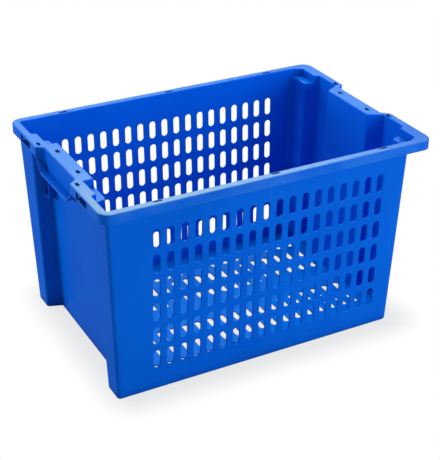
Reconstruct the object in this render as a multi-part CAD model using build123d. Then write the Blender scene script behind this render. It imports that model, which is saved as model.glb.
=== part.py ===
from build123d import *
import os
from math import hypot, floor

# Perforated crate that nests one way round and stacks when turned by half a turn.
# Millimetres, +Z up, origin at the middle of the base, +X towards the right end, -Y towards the front wall.

# Overall size
length = 600
width = 400
height = 350

# Plastic thickness
wall = 3
floor_thickness = 3
flange_thickness = 3

# Tub: how far its outer faces stay inside the rim, and how they lean inwards on the way down
side_overhang = 11
foot_overhang = 10.5
foot_depth = 26.2
side_draft = 0.030
end_draft = 0.040
left_corner_radius = 6.5
right_corner_radius = 12
foot_edge_radius = 6
base_edge_radius = 2.5
base_inner_radius = 1.5
corner_post_margin = 4
floor_margin = 2

# Feet: where they start and end across the crate at the rim, and how far their returns slant
left_foot_start = 127
left_return_slant = 9
right_foot_start = 75.5
right_foot_end = 134.5
right_inner_slant = 15
right_outer_slant = 9

# Slots in the long walls
slot_width = 12
slot_length = 33
slot_gap_along = 12.25
slot_gap_up = 12
slot_edge_radius = 1
slots_above_base = 42
slots_below_rim = 48
slots_from_ends = 86

# Slots in the base, on both sides of a plain band along its middle
base_slot_width = 10.5
base_slot_length = 30
base_slot_gap_along = 13.75
base_slot_gap_across = 14
base_band_half = 32.5
base_slots_from_sides = 26
base_slots_from_ends = 62

# Rim
rim_corner_radius = 19
skirt_depth = 17
skirt_thickness = 3
rim_edge_radius = 2
skirt_notch_start = 100
skirt_notch_end = 142
rim_rail_reach = 258
rim_corner_start = 160

# Drain slots in the rim rails and oblong holes in the rim ends
drain_slot_length = 16
drain_slot_width = 4.5
drain_slot_spacing = 205
drain_slot_from_edge = 9.5
rim_hole_length = 11.5
rim_hole_width = 6
outer_hole_from_end = 9.5
outer_hole_offset = 84
bridge_hole_from_end = 27
bridge_hole_offset = 43

# Stacking ledges below the rim
ledge_drop = 15
ledge_thickness = 3
ledge_back_from_end = 22.5
left_ledge_start = 76
right_ledge_corner_along = 14
right_ledge_corner_across = 9
ledge_margin = 40

# Brackets below the ledges: an upright rib, and a floor from the rib's foot to the crate's foot beside it
bracket_thickness = 2.5
left_bracket_from_end = 28.5
left_bracket_drop = 115
left_bracket_offset = 102
right_bracket_from_end = 23.5
right_bracket_drop = 107
right_bracket_offset = 149.5

# Handles: a recess in the rim's end, a panel below its bridge and a lip at the panel's foot
grip_recess = 13
grip_inner_half = 65
grip_outer_half = 76
grip_step_radius = 4
grip_panel_depth = 41.5
grip_lip_thickness = 3
grip_lip_flat_half = 55
grip_lip_bend_radius = 8
grip_lip_edge_radius = 1
grip_end_margin = 1

# Values worked out from the sizes above
flange_under = height - flange_thickness
skirt_foot = height - skirt_depth
ledge_top = height - ledge_drop
ledge_under = ledge_top - ledge_thickness
ledge_back = length / 2 - ledge_back_from_end
grip_face = length / 2 - grip_recess
grip_foot = height - grip_panel_depth
grip_end = grip_outer_half + grip_end_margin
grip_panel_half = grip_inner_half - skirt_thickness
lip_top = grip_foot + grip_lip_thickness
lip_run = grip_end - grip_lip_flat_half
lip_slope_thickness = grip_lip_thickness * hypot(lip_run, skirt_foot - lip_top) / lip_run
cut_reach = 20
panel_reach = 8
floor_border = wall + base_edge_radius + floor_margin
base_edge_top = floor_thickness + base_inner_radius + floor_margin
corner_leg = max(left_corner_radius, right_corner_radius) + corner_post_margin
slot_pitch_along = slot_width + slot_gap_along
slot_pitch_up = slot_length + slot_gap_up
base_pitch_along = base_slot_width + base_slot_gap_along
base_pitch_across = base_slot_length + base_slot_gap_across


def foot_face(z):
    return length / 2 - foot_overhang - end_draft * (height - z)


def bay_face(z):
    return foot_face(z) - foot_depth


def side_face(z):
    return width / 2 - side_overhang - side_draft * (height - z)


# Tub panels in turn around the crate: a point on the outer face at height z, and the way the face looks
def panel_faces(z):
    lean = side_draft * (height - z)
    foot = foot_face(z)
    bay = bay_face(z)
    side = side_face(z)
    left_start = left_foot_start + lean
    right_start = right_foot_start + lean
    right_end = right_foot_end - lean
    return {
        "front_wall": ((0, -side), (0, -1)),
        "right_front_shoulder": ((bay, 0), (1, 0)),
        "right_front_outer_return": ((foot, -right_end), (right_outer_slant, -foot_depth)),
        "right_front_foot": ((foot, 0), (1, 0)),
        "right_front_inner_return": ((foot, -right_start), (right_inner_slant, foot_depth)),
        "right_bay_panel": ((bay, 0), (1, 0)),
        "right_rear_inner_return": ((foot, right_start), (right_inner_slant, -foot_depth)),
        "right_rear_foot": ((foot, 0), (1, 0)),
        "right_rear_outer_return": ((foot, right_end), (right_outer_slant, foot_depth)),
        "right_rear_shoulder": ((bay, 0), (1, 0)),
        "rear_wall": ((0, side), (0, 1)),
        "left_rear_foot": ((-foot, 0), (-1, 0)),
        "left_rear_return": ((-foot, left_start), (-left_return_slant, -foot_depth)),
        "left_bay_panel": ((-bay, 0), (-1, 0)),
        "left_front_return": ((-foot, -left_start), (-left_return_slant, foot_depth)),
        "left_front_foot": ((-foot, 0), (-1, 0)),
    }


panel_names = list(panel_faces(0))
main_corners = {
    "front_wall": "right_front_corner",
    "right_rear_shoulder": "right_rear_corner",
    "rear_wall": "left_rear_corner",
    "left_front_foot": "left_front_corner",
}


# A panel's outward direction, of length one
def outward(name):
    direction = panel_faces(0)[name][1]
    size = hypot(*direction)
    return Vector(direction[0] / size, direction[1] / size)


def next_panel(name):
    return panel_names[(panel_names.index(name) + 1) % len(panel_names)]


# The point where a panel meets the next one at height z, with both faces set inwards
def meeting_point(name, z, inset):
    faces = panel_faces(z)
    after = next_panel(name)
    first = outward(name)
    second = outward(after)
    first_reach = first.dot(Vector(*faces[name][0])) - inset
    second_reach = second.dot(Vector(*faces[after][0])) - inset
    spread = first.X * second.Y - first.Y * second.X
    x = (first_reach * second.Y - second_reach * first.Y) / spread
    y = (second_reach * first.X - first_reach * second.X) / spread
    return Vector(x, y, z)


# The panel bends outwards where it meets the next one
def is_convex(name):
    first = outward(name)
    second = outward(next_panel(name))
    return first.X * second.Y - first.Y * second.X > 0


# A closed block between two outlines with as many corners
def block_between(low, high):
    faces = [Face(Wire.make_polygon(low)), Face(Wire.make_polygon(high))]
    count = len(low)
    for i in range(count):
        j = (i + 1) % count
        faces.append(Face(Wire.make_polygon([low[i], low[j], high[j], high[i]])))
    return Solid(Shell(faces))


# The tub's outer form, or its cavity with the faces set inwards, with rounded edges
def tub_form(inset, low, high, base_radius):
    low_points = [meeting_point(name, low, inset) for name in panel_names]
    high_points = [meeting_point(name, high, inset) for name in panel_names]
    form = block_between(low_points, high_points)
    radius_groups = {}
    for name, below, above in zip(panel_names, low_points, high_points):
        corner_name = main_corners.get(name, "")
        if corner_name.startswith("left"):
            radius = left_corner_radius - inset
        elif corner_name.startswith("right"):
            radius = right_corner_radius - inset
        elif is_convex(name):
            radius = foot_edge_radius - inset
        else:
            radius = foot_edge_radius - wall + inset
        radius_groups.setdefault(radius, []).append((below + above) / 2)
    for radius, middles in radius_groups.items():
        edges = [min(form.edges(), key=lambda edge: (edge.center() - middle).length) for middle in middles]
        form = form.fillet(radius, edges)
    base_edges = form.faces().sort_by(Axis.Z)[0].edges()
    return form.fillet(base_radius, base_edges)


# The end of a panel's own region at height z, on the side of its first or last edge
def region_end(name, corner, step, z):
    side = outward(name)
    if corner in main_corners:
        along = Vector(-side.Y, side.X) * step * corner_leg
        foot_point = meeting_point(corner, z, 0) + along
        return [foot_point + side * panel_reach, foot_point - side * floor_border]
    return [meeting_point(corner, z, -panel_reach), meeting_point(corner, z, floor_border)]


def panel_outline(name, z):
    before = panel_names[panel_names.index(name) - 1]
    start_out, start_in = region_end(name, before, 1, z)
    end_out, end_in = region_end(name, name, -1, z)
    return [start_out, end_out, end_in, start_in]


def corner_outline(name, z):
    first_out, first_in = region_end(name, name, -1, z)
    last_out, last_in = region_end(next_panel(name), name, 1, z)
    tip_out = meeting_point(name, z, -panel_reach)
    tip_in = meeting_point(name, z, floor_border)
    return [first_out, tip_out, last_out, last_in, tip_in, first_in]


# A flat outline raised between two heights
def raised(face, low, high):
    return extrude(Pos(0, 0, low) * face, amount=high - low, dir=(0, 0, 1))


# A box between two opposite corners
def box_between(low, high):
    middle = [(a + b) / 2 for a, b in zip(low, high)]
    sizes = [b - a for a, b in zip(low, high)]
    return Pos(*middle) * Box(*sizes)


# Plan of the hollow above a stacking ledge, for the left or right end and the front or rear half
def ledge_plan(end, half):
    inner = bay_face(height) - ledge_margin
    if end < 0:
        points = [
            (inner, left_ledge_start),
            (ledge_back, left_ledge_start),
            (ledge_back, left_foot_start + ledge_margin / 2),
            (inner, left_foot_start + ledge_margin / 2),
        ]
    else:
        side = side_face(flange_under) - wall
        points = [
            (inner, right_foot_end - ledge_margin / 2),
            (ledge_back, right_foot_end - ledge_margin / 2),
            (ledge_back, side - right_ledge_corner_across),
            (ledge_back - right_ledge_corner_along, side),
            (inner, side),
        ]
    return make_face(Polyline(*[(end * x, half * y) for x, y in points], close=True))


# Plan of the rim's outer edge, with the handle recesses in its ends
def rim_plan():
    end = length / 2
    side = width / 2
    right = [
        (end, -side),
        (end, -grip_outer_half),
        (grip_face, -grip_inner_half),
        (grip_face, grip_inner_half),
        (end, grip_outer_half),
        (end, side),
    ]
    left = [(-x, -y) for x, y in right]
    plan = make_face(Polyline(*right, *left, close=True))
    steps = [vertex for vertex in plan.vertices() if abs(vertex.Y) < grip_end]
    plan = fillet(steps, radius=grip_step_radius)
    corners = [vertex for vertex in plan.vertices() if abs(abs(vertex.Y) - side) < 1]
    return fillet(corners, radius=rim_corner_radius)


# Evenly spaced places about a middle, as many as fit between two limits
def spread(low, high, size, pitch):
    count = floor((high - low - size) / pitch) + 1
    first = (low + high - (count - 1) * pitch) / 2
    return [first + i * pitch for i in range(count)]


# Slots through a flat panel, with rounded edges on its two broad faces
def with_slots(panel, cutters):
    cut = panel - cutters
    broad = sorted(cut.faces(), key=lambda face: face.area)[-2:]
    edges = []
    for face in broad:
        for wire in face.inner_wires():
            edges.extend(wire.edges())
    return fillet(edges, radius=slot_edge_radius)


nodes = {}

# Tub, with the ledges cut out of its upper edge; below the skirt's notch each ledge runs out to the rim's end
tub_outside = tub_form(0, 0, flange_under, base_edge_radius)
cavity = tub_form(wall, floor_thickness, height + cut_reach, base_inner_radius)
tub = Part() + tub_outside - cavity
ledge_hollows = []
for end, end_name in ((-1, "left"), (1, "right")):
    for half, half_name in ((-1, "front"), (1, "rear")):
        plan = ledge_plan(end, half)
        hollow = raised(plan, ledge_top, height + cut_reach)
        body = raised(offset(plan, amount=wall, kind=Kind.INTERSECTION), ledge_under, flange_under)
        low_x, high_x = sorted((end * ledge_back, end * length / 2))
        low_y, high_y = sorted((half * skirt_notch_start, half * skirt_notch_end))
        apron = box_between((low_x, low_y, ledge_under), (high_x, high_y, ledge_top))
        tub = tub - body
        ledge_hollows.append(hollow)
        nodes[f"{end_name}_{half_name}_ledge"] = body - hollow - cavity + (apron - body - tub_outside)

region_low = -panel_reach
region_high = height
for name in panel_names:
    region = block_between(panel_outline(name, region_low), panel_outline(name, region_high))
    nodes[name] = tub & region
for name, corner_name in main_corners.items():
    region = block_between(corner_outline(name, region_low), corner_outline(name, region_high))
    nodes[corner_name] = tub & region
base_low = [meeting_point(name, region_low, floor_border) for name in panel_names]
base_high = [meeting_point(name, floor_thickness + floor_margin, floor_border) for name in panel_names]
base = tub & block_between(base_low, base_high)
sole_start = bay_face(0) - floor_border
nodes["base_grid"] = base & box_between((-sole_start, -width, -height), (sole_start, width, height))
for end, end_name in ((-1, "left"), (1, "right")):
    for half, half_name in ((-1, "front"), (1, "rear")):
        near_x, far_x = sorted((end * sole_start, end * length))
        near_y, far_y = sorted((0, half * width))
        quarter = box_between((near_x, near_y, -height), (far_x, far_y, height))
        nodes[f"{end_name}_{half_name}_sole"] = base & quarter

# Rounded foot of each long wall
below_walls = box_between((-length, -width, -height), (length, width, base_edge_top))
nodes["front_base_edge"] = nodes["front_wall"] & below_walls
nodes["rear_base_edge"] = mirror(nodes["front_base_edge"], about=Plane.XZ)

# Slots in the long walls and the base
columns = spread(slots_from_ends - length / 2, length / 2 - slots_from_ends, slot_width, slot_pitch_along)
row_count = floor((height - slots_above_base - slots_below_rim - slot_length) / slot_pitch_up) + 1
rows = [slots_above_base + slot_length / 2 + i * slot_pitch_up for i in range(row_count)]
base_end = length / 2 - base_slots_from_ends
base_columns = spread(-base_end, base_end, base_slot_width, base_pitch_along)
base_side = side_face(0) - base_slots_from_sides
base_rows = spread(base_band_half, base_side, base_slot_length, base_pitch_across)
slot = SlotOverall(slot_length, slot_width, rotation=90)
base_slot = SlotOverall(base_slot_length, base_slot_width, rotation=90)
wall_cutter = extrude(Plane.XZ * slot, amount=width, both=True)
base_cutter = extrude(base_slot, amount=base_slot_length, both=True)
wall_cutters = [Pos(x, 0, z) * wall_cutter for x in columns for z in rows]
base_places = [(x, half * y) for x in base_columns for y in base_rows for half in (-1, 1)]
base_cutters = [Pos(x, y, 0) * base_cutter for x, y in base_places]
nodes["front_wall"] = with_slots(nodes["front_wall"] - below_walls, wall_cutters)
nodes["rear_wall"] = mirror(nodes["front_wall"], about=Plane.XZ)
nodes["base_grid"] = with_slots(nodes["base_grid"], base_cutters)

# Rim: a flange around the tub's top with a skirt on its outer edge
plan = rim_plan()
skirt_plan = plan - offset(plan, amount=-skirt_thickness)
flange = raised(plan, flange_under, height) - cavity - ledge_hollows
skirt = raised(skirt_plan, skirt_foot, flange_under)
skirt = skirt - box_between((-length, -grip_end, 0), (length, grip_end, height))
for half in (-1, 1):
    near, far = sorted((half * skirt_notch_start, half * skirt_notch_end))
    skirt = skirt - box_between((-length, near, 0), (length, far, height))
rim = flange + skirt
rim_top = rim.faces().sort_by(Axis.Z)[-1]
rim = fillet(rim_top.edges(), radius=rim_edge_radius)

# Drain slots and oblong holes through the flange
drain = SlotOverall(drain_slot_length, drain_slot_width)
for half in (-1, 1):
    for step in (-1, 0, 1):
        place = Pos(step * drain_slot_spacing, half * (width / 2 - drain_slot_from_edge))
        rim = rim - raised(place * drain, skirt_foot, height + cut_reach)
for end in (-1, 1):
    for half in (-1, 1):
        outer_place = Pos(end * (length / 2 - outer_hole_from_end), half * outer_hole_offset)
        bridge_place = Pos(end * (length / 2 - bridge_hole_from_end), half * bridge_hole_offset)
        for place in (outer_place, bridge_place):
            hole = place * Rectangle(rim_hole_width, rim_hole_length)
            rim = rim - raised(hole, skirt_foot, height + cut_reach)

# Rim cut across into rails, corners, shoulders and bridges
far = length
for half, half_name in ((-1, "front"), (1, "rear")):
    near_y, far_y = sorted((half * rim_corner_start, half * far))
    rail = box_between((-rim_rail_reach, near_y, 0), (rim_rail_reach, far_y, far))
    nodes[f"{half_name}_rim_rail"] = rim & rail
    for end, end_name in ((-1, "left"), (1, "right")):
        near_x, far_x = sorted((end * rim_rail_reach, end * far))
        corner = box_between((near_x, near_y, 0), (far_x, far_y, far))
        nodes[f"{end_name}_{half_name}_rim_corner"] = rim & corner
        low_x, high_x = sorted((0, end * far))
        low_y, high_y = sorted((half * grip_end, half * rim_corner_start))
        shoulder = box_between((low_x, low_y, 0), (high_x, high_y, far))
        nodes[f"{end_name}_{half_name}_rim_shoulder"] = rim & shoulder
for end, end_name in ((-1, "left"), (1, "right")):
    low_x, high_x = sorted((0, end * far))
    nodes[f"{end_name}_rim_bridge"] = rim & box_between((low_x, -grip_end, 0), (high_x, grip_end, far))

# Brackets below the ledges: the rib's free side, its side towards the foot, and a place inside the foot
left_inside_foot = left_foot_start + ledge_margin / 2
right_inside_foot = right_foot_end - ledge_margin / 2
left_span = (left_bracket_offset, left_bracket_offset + bracket_thickness, left_inside_foot)
right_span = (right_bracket_offset, right_bracket_offset - bracket_thickness, right_inside_foot)
bracket_sizes = (
    (-1, "left", left_bracket_from_end, left_bracket_drop, left_span),
    (1, "right", right_bracket_from_end, right_bracket_drop, right_span),
)
for end, end_name, from_end, drop, span in bracket_sizes:
    low_x, high_x = sorted((0, end * (length / 2 - from_end)))
    foot_z = height - drop
    for half, half_name in ((-1, "front"), (1, "rear")):
        free_side, near_side, inside_foot = [half * y for y in span]
        rib_low, rib_high = sorted((free_side, near_side))
        floor_low, floor_high = sorted((free_side, inside_foot))
        rib = box_between((low_x, rib_low, foot_z), (high_x, rib_high, ledge_under))
        plate = box_between((low_x, floor_low, foot_z), (high_x, floor_high, foot_z + bracket_thickness))
        nodes[f"{end_name}_{half_name}_ledge_bracket"] = rib + plate - tub_outside

# Handles at the two ends
lip_line = [
    (-grip_end, skirt_foot),
    (-grip_lip_flat_half, lip_top),
    (grip_lip_flat_half, lip_top),
    (grip_end, skirt_foot),
]
lip_underside = [
    (grip_end, skirt_foot - lip_slope_thickness),
    (grip_lip_flat_half, grip_foot),
    (-grip_lip_flat_half, grip_foot),
    (-grip_end, skirt_foot - lip_slope_thickness),
]
lip_face = make_face(Polyline(*lip_line, *lip_underside, close=True))
lip_bends = [vertex for vertex in lip_face.vertices() if abs(vertex.X) < grip_end - 1]
lip_face = fillet(lip_bends, radius=grip_lip_bend_radius)
below_lip = make_face(Polyline(*lip_underside, (-grip_end, 0), (grip_end, 0), close=True))
below_lip = extrude(Plane.YZ * below_lip, amount=length, both=True)
for end, end_name in ((-1, "left"), (1, "right")):
    panel_near, panel_far = sorted((end * (grip_face - skirt_thickness), end * grip_face))
    lip_near, lip_far = sorted((end * grip_face, end * length / 2))
    panel_low = (panel_near, -grip_panel_half, grip_foot)
    panel_high = (panel_far, grip_panel_half, flange_under)
    panel = box_between(panel_low, panel_high)
    nodes[f"{end_name}_grip_panel"] = panel
    lip = extrude(Plane.YZ.offset(lip_near) * lip_face, amount=lip_far - lip_near)
    outer_edges = [edge for edge in lip.edges() if abs(abs(edge.center().X) - length / 2) < 0.1]
    outer_edges = [edge for edge in outer_edges if abs(edge.center().Y) < grip_end - 0.1]
    lip = fillet(outer_edges, radius=grip_lip_edge_radius)
    cheeks = raised(skirt_plan, grip_foot, flange_under) - below_lip
    for half, half_name in ((-1, "front"), (1, "rear")):
        low_x, high_x = sorted((0, end * length))
        low_y, high_y = sorted((half * grip_panel_half, half * grip_end))
        lip = lip + (cheeks & box_between((low_x, low_y, 0), (high_x, high_y, height)))
    nodes[f"{end_name}_grip_lip"] = lip - tub_outside

os.makedirs("parts", exist_ok=True)
for name, node in nodes.items():
    print(name, len(node.solids()), round(node.volume))
    export_step(node, f"parts/{name}.step")
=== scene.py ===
import math

import bpy
from mathutils import Matrix, Vector


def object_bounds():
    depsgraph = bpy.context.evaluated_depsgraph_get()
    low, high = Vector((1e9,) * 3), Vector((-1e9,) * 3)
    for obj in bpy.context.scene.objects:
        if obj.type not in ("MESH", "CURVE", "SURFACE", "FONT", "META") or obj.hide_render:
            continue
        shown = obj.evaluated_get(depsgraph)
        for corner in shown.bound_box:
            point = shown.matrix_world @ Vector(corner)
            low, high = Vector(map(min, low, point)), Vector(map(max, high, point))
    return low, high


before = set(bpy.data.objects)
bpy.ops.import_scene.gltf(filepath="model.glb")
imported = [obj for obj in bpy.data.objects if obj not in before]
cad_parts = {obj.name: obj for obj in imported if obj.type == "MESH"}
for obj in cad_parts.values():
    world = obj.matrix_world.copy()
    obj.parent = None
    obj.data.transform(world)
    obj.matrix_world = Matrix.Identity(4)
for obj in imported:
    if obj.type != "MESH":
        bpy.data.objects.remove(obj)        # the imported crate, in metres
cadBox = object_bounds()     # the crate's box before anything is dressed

crateLow, crateHigh = cadBox
crateHeight = crateHigh[2] - crateLow[2]
print("crate loaded, nodes:", len(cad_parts))


# shader maths: a wrapped socket that can be added, multiplied and compared
class Wire:
    def __init__(self, tree, socket=None):
        self.tree = tree
        self.socket = socket

    def put(self, kind, settings=None, inputs=None, out=0):
        node = self.tree.nodes.new(kind)
        for name, value in (settings or {}).items():
            setattr(node, name, value)
        for key, value in (inputs or {}).items():
            if isinstance(value, Wire):
                self.tree.links.new(value.socket, node.inputs[key])
            else:
                node.inputs[key].default_value = value
        return Wire(self.tree, node.outputs[out]) if node.outputs else None

    def sums(self, operation, *terms):
        return self.put("ShaderNodeMath", {"operation": operation}, dict(enumerate(terms)))

    def __add__(self, other):
        return self.sums("ADD", self, other)

    def __radd__(self, other):
        return self.sums("ADD", other, self)

    def __sub__(self, other):
        return self.sums("SUBTRACT", self, other)

    def __rsub__(self, other):
        return self.sums("SUBTRACT", other, self)

    def __mul__(self, other):
        return self.sums("MULTIPLY", self, other)

    def __rmul__(self, other):
        return self.sums("MULTIPLY", other, self)

    def most(self, other):
        return self.sums("MAXIMUM", self, other)

    def least(self, other):
        return self.sums("MINIMUM", self, other)

    def fade(self, low, high):                     # 0 at low, 1 at high, smooth between
        settings = {"interpolation_type": "SMOOTHSTEP"}
        return self.put("ShaderNodeMapRange", settings, {"Value": self, "From Min": low, "From Max": high})

    def tint(self, under, over):                   # mixes two colours by this value
        return self.put("ShaderNodeMix", {"data_type": "RGBA"}, {0: self, 6: under, 7: over}, out=2)

    def vectors(self, operation, *terms, out=0):
        return self.put("ShaderNodeVectorMath", {"operation": operation}, dict(enumerate(terms)), out)

    def split(self):                               # a vector's X, Y and Z
        across = self.put("ShaderNodeSeparateXYZ", None, {0: self})
        return [Wire(self.tree, socket) for socket in across.socket.node.outputs]

    def noise(self, look):                         # a noise pattern over this vector
        return self.put("ShaderNodeTexNoise", None, {"Vector": self, **look})


def newMaterial(name):
    material = bpy.data.materials.new(name)
    material.use_nodes = True
    material.node_tree.nodes.clear()
    return material, Wire(material.node_tree)


# crate plastic: satin moulded polyethylene, coloured right through
plastic = {
    "blue": (0.0, 0.138, 0.78, 1),
    "deepBlue": (0.0, 0.12, 0.73, 1),
    "scuffBlue": (0.08, 0.28, 0.84, 1),
    "flow": {"Scale": 7.0, "Detail": 3.0},         # broad drift of the colour, scales per metre
    "speck": {"Scale": 420.0, "Detail": 2.0},      # flecks of pigment
    "grain": {"Scale": 1500.0, "Detail": 2.0},     # spark-eroded grain of the mould
    "warp": {"Scale": 9.0, "Detail": 1.0},         # slight waves in the cooled panels
    "patches": {"Scale": 13.0, "Detail": 2.0},     # where the rubbing is heavier
    "streak": {"Scale": 1.0, "Detail": 3.0},       # upright rubbing marks from nesting
    "streakStretch": (150.0, 150.0, 5.0),
    "flowFade": (0.30, 0.70),                      # a pattern starts and is full at these values
    "speckFade": (0.60, 0.80),
    "streakFade": (0.62, 0.80),
    "rubPatches": (0.25, 0.65),
    "streakPatches": (0.45, 0.70),
    "speckShare": 0.10,                            # how strongly each pattern tints the blue
    "rubShare": 0.25,
    "markShare": 0.10,
    "rimReach": (0.0035, 0.0005),                  # rubbing begins and is full this far inside the rim
    "footReach": (0.0025, 0.0005),                 # the same for the height above the ground
    "paintedSheenReach": (0.0012, 0.0003),                # painted sheen, for the depth below the rim's top
    "paintedSheenBlue": (0.28, 0.385, 0.61, 1),           # painted sheen: a pale top of the rim
    "paintedSheenShare": (0.1, 0.74),                     # how strong the painted sheen is, on the rear and on the front side
    "sheenSideFrom": (-0.25, -1.0, 0.0),                 # the painted sheen is strongest towards the front
    "sheenSideReach": (0.08, 0.25),                      # from weakest to strongest, in metres towards the front
    "litFloorReach": (0.0045, 0.0035),                  # painted light: the crate's floor lies below this height
    "litFloorUpward": (0.3, 0.7),                       # and faces up
    "litFloorBlue": (0.0, 0.27, 0.86, 1),               # painted light on the crate's floor, where light from above falls
    "litFloorShare": 0.52,
    "paintedShadeReach": 0.04,                             # painted shade: recesses narrower than this are painted darker
    "paintedShadeSamples": 4,
    "paintedShadeDepth": (0.35, 0.95),
    "paintedShadeBlue": (0.0, 0.02, 0.16, 1),
    "roughness": 0.29,
    "roughFlow": 0.10,                             # what each pattern adds to the roughness
    "roughSpeck": 0.08,
    "roughMark": 0.10,
    "roughRub": 0.08,
    "grainRelief": 0.6,                            # shares of the bump's height
    "speckRelief": 0.25,
    "warpRelief": 6.0,
    "bumpStrength": 0.35,
    "bumpDepth": 0.0002,
    "ior": 1.5,
    "specular": 0.1,
    "sheen": (0.6, 1.0, 0.95, 1),
}
noiseMiddle = 0.5        # a noise pattern swings about this value


def cratePlastic():
    material, base = newMaterial("crate_plastic_blue")
    place = base.put("ShaderNodeTexCoord", out="Object")
    flow = place.noise(plastic["flow"])
    speck = place.noise(plastic["speck"])
    grain = place.noise(plastic["grain"])
    warp = place.noise(plastic["warp"])
    patches = place.noise(plastic["patches"])
    streak = place.vectors("MULTIPLY", place, plastic["streakStretch"]).noise(plastic["streak"])

    # how far a spot lies inside the rim's outer faces, below its top and above the ground
    inside = place.vectors("SUBTRACT", crateHigh, place.vectors("ABSOLUTE", place))
    fromEnd, fromSide, fromTop = inside.split()
    height = crateHeight - fromTop
    outer = fromEnd.least(fromSide).fade(*plastic["rimReach"])
    foot = height.fade(*plastic["footReach"])
    rubbed = outer.most(foot) * patches.fade(*plastic["rubPatches"])
    marks = streak.fade(*plastic["streakFade"]) * patches.fade(*plastic["streakPatches"])

    # painted light on the crate's floor, painted sheen on the rim's top and painted shade in the recesses
    upward = base.put("ShaderNodeNewGeometry", out="Normal").split()[2]
    # painted light: the crate's floor is painted lighter where it faces up
    litFloorMask = height.fade(*plastic["litFloorReach"]) * upward.fade(*plastic["litFloorUpward"])
    towardsSheenSide = place.vectors("DOT_PRODUCT", place, plastic["sheenSideFrom"], out="Value")
    leastSheen, mostSheen = plastic["paintedSheenShare"]
    sheenSideShare = leastSheen + towardsSheenSide.fade(*plastic["sheenSideReach"]) * (mostSheen - leastSheen)
    # painted sheen: the rim's top is painted pale, more strongly towards the front
    sheenMask = fromTop.fade(*plastic["paintedSheenReach"]) * sheenSideShare
    samples = {"samples": plastic["paintedShadeSamples"]}
    # painted shade: recesses are painted darker by ambient occlusion
    exposed = base.put("ShaderNodeAmbientOcclusion", samples, {"Distance": plastic["paintedShadeReach"]}, out="AO")
    shadeMask = (1 - exposed).fade(*plastic["paintedShadeDepth"])

    # the colour, from the plain blue up
    body = flow.fade(*plastic["flowFade"]).tint(plastic["deepBlue"], plastic["blue"])
    flecked = (speck.fade(*plastic["speckFade"]) * plastic["speckShare"]).tint(body, plastic["scuffBlue"])
    wear = rubbed * plastic["rubShare"] + marks * plastic["markShare"]
    worn = wear.tint(flecked, plastic["scuffBlue"])
    withLitFloor = (litFloorMask * plastic["litFloorShare"]).tint(worn, plastic["litFloorBlue"])
    withSheen = sheenMask.tint(withLitFloor, plastic["paintedSheenBlue"])
    shaded = shadeMask.tint(withSheen, plastic["paintedShadeBlue"])

    # the satin surface and its fine relief
    drift = (flow - noiseMiddle) * plastic["roughFlow"] + (speck - noiseMiddle) * plastic["roughSpeck"]
    rough = plastic["roughness"] + drift + marks * plastic["roughMark"] + rubbed * plastic["roughRub"]
    relief = grain * plastic["grainRelief"] + speck * plastic["speckRelief"] + warp * plastic["warpRelief"]
    bump = base.put("ShaderNodeBump", None, {
        "Strength": plastic["bumpStrength"], "Distance": plastic["bumpDepth"], "Height": relief,
    })
    shader = base.put("ShaderNodeBsdfPrincipled", None, {
        "Base Color": shaded, "Roughness": rough, "Normal": bump, "IOR": plastic["ior"],
        "Specular IOR Level": plastic["specular"], "Specular Tint": plastic["sheen"],
    })
    base.put("ShaderNodeOutputMaterial", None, {"Surface": shader})
    return material


crateBlue = cratePlastic()
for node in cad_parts.values():
    node.data.materials.clear()
    node.data.materials.append(crateBlue)
print("plastic on", len(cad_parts), "nodes")


# studio: pale floor, white backdrop, soft light from above, behind, left and right
studioLook = {
    "ambient": 0.23,               # light of the white backdrop on the crate
    "background": 1.0,             # the backdrop as the camera sees it
    "glossShare": 0.1,             # the satin plastic mirrors this share of it
}
floorLook = {
    "size": 14.0,
    "colour": (0.38, 0.38, 0.38, 1),
    "foot": (0.24, 0.17, 0.0),     # half of the crate's footprint
    "shadowReach": (0.015, 0.085),   # the shadow fades out between these distances from the footprint
    "glow": 0.76,                  # share of plain white beside the crate
}
white = (1, 1, 1, 1)


def rayKinds(base):
    names = ("Is Camera Ray", "Is Glossy Ray", "Is Transmission Ray")
    return [base.put("ShaderNodeLightPath", out=name) for name in names]


def floorMaterial():
    material, base = newMaterial("studio_floor_pale")
    place = base.put("ShaderNodeTexCoord", out="Object")
    beyond = place.vectors("SUBTRACT", place.vectors("ABSOLUTE", place), floorLook["foot"])
    outside = place.vectors("MAXIMUM", beyond, (0, 0, 0))
    distance = place.vectors("LENGTH", outside, out="Value")
    clear = floorLook["glow"] + distance.fade(*floorLook["shadowReach"]) * (1 - floorLook["glow"])
    camera, glossy, through = rayKinds(base)
    seen = camera.most(through).most(glossy)
    mirrored = [studioLook["glossShare"] * part for part in white]
    matt = base.put("ShaderNodeBsdfDiffuse", None, {"Color": floorLook["colour"]})
    plainWhite = base.put("ShaderNodeEmission", None, {"Color": glossy.tint(white, mirrored)})
    mixed = base.put("ShaderNodeMixShader", None, {0: seen * clear, 1: matt, 2: plainWhite})
    base.put("ShaderNodeOutputMaterial", None, {"Surface": mixed})
    return material


def paleFloor():
    mesh = bpy.data.meshes.new("studio_floor")
    half = floorLook["size"] / 2
    corners = [(-half, -half, 0), (half, -half, 0), (half, half, 0), (-half, half, 0)]
    mesh.from_pydata(corners, [], [(0, 1, 2, 3)])
    mesh.materials.append(floorMaterial())
    floor = bpy.data.objects.new("studio_floor", mesh)
    bpy.context.scene.collection.objects.link(floor)


paleFloor()
print("floor laid")

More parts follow.
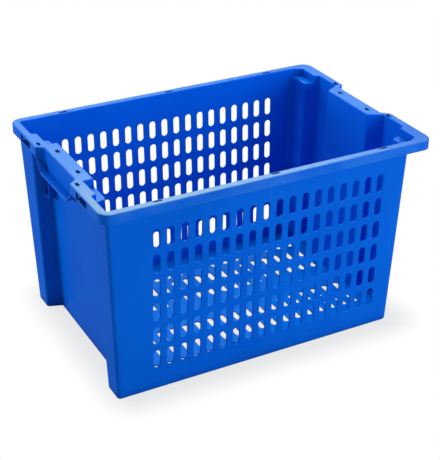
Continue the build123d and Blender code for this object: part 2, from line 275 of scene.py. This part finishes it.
lamps = {
    "rear_softbox": {"at": (0.8, 1.85, 1.5), "size": (1.6, 0.4), "watts": 19, "colour": (0.7, 1.0, 0.8)},
    "top_softbox": {"at": (0.1, 0.5, 2.0), "size": (1.6, 1.4), "watts": 27, "colour": (0.72, 1.0, 0.9)},
    "left_softbox": {"at": (-1.9, 1.4, 0.65), "size": (1.2, 0.9), "watts": 34, "colour": (0.7, 0.95, 1.0)},
    "right_softbox": {"at": (1.0, -2.1, 0.85), "size": (1.6, 1.0), "watts": 37, "colour": (0.8, 0.95, 1.0)},
}
for lampName, lamp in lamps.items():
    light = bpy.data.lights.new(lampName, "AREA")
    light.shape = "RECTANGLE"
    light.size, light.size_y = lamp["size"]
    light.energy = lamp["watts"]
    light.color = lamp["colour"]
    holder = bpy.data.objects.new(lampName, light)
    holder.location = lamp["at"]
    aim = Vector((0, 0, crateHeight / 2)) - Vector(lamp["at"])
    holder.rotation_euler = aim.to_track_quat("-Z", "Y").to_euler()
    bpy.context.scene.collection.objects.link(holder)


def whiteBackdrop():
    world = bpy.data.worlds.new("studio_white")
    bpy.context.scene.world = world
    world.use_nodes = True
    world.node_tree.nodes.clear()
    base = Wire(world.node_tree)
    camera, glossy, through = rayKinds(base)
    shown = camera.most(through).most(glossy * studioLook["glossShare"])
    strength = studioLook["ambient"] + shown * (studioLook["background"] - studioLook["ambient"])
    backdrop = base.put("ShaderNodeBackground", None, {"Color": white, "Strength": strength})
    base.put("ShaderNodeOutputWorld", None, {"Surface": backdrop})


whiteBackdrop()
bpy.context.scene.view_settings.view_transform = "Standard"
print("studio lit")


# camera at the photograph's angle, solved from the crate's own edges
photo = {
    "width": 440, "height": 460,   # in pixels, as are the next two
    "focal": 1208.5,
    "centre": (215.05, 194.88),    # where the lens axis meets the picture
    "at": (-0.8875, -1.6464, 1.1792),
    "azimuth": 28.179, "elevation": 27.012, "roll": 0.323,
    "sensor": 36.0,                # millimetres
}


def photoCamera():
    data = bpy.data.cameras.new("photo_camera")
    data.sensor_fit = "HORIZONTAL"
    data.sensor_width = photo["sensor"]
    data.lens = photo["focal"] * photo["sensor"] / photo["width"]
    data.shift_x = (photo["width"] / 2 - photo["centre"][0]) / photo["width"]
    data.shift_y = (photo["centre"][1] - photo["height"] / 2) / photo["width"]
    camera = bpy.data.objects.new("photo_camera", data)
    turn = Matrix.Rotation(math.radians(-photo["azimuth"]), 4, "Z")
    tilt = Matrix.Rotation(math.radians(90 - photo["elevation"]), 4, "X")
    roll = Matrix.Rotation(math.radians(photo["roll"]), 4, "Z")
    camera.matrix_world = Matrix.Translation(photo["at"]) @ turn @ tilt @ roll
    bpy.context.scene.collection.objects.link(camera)
    bpy.context.scene.camera = camera


photoCamera()
print("camera placed")
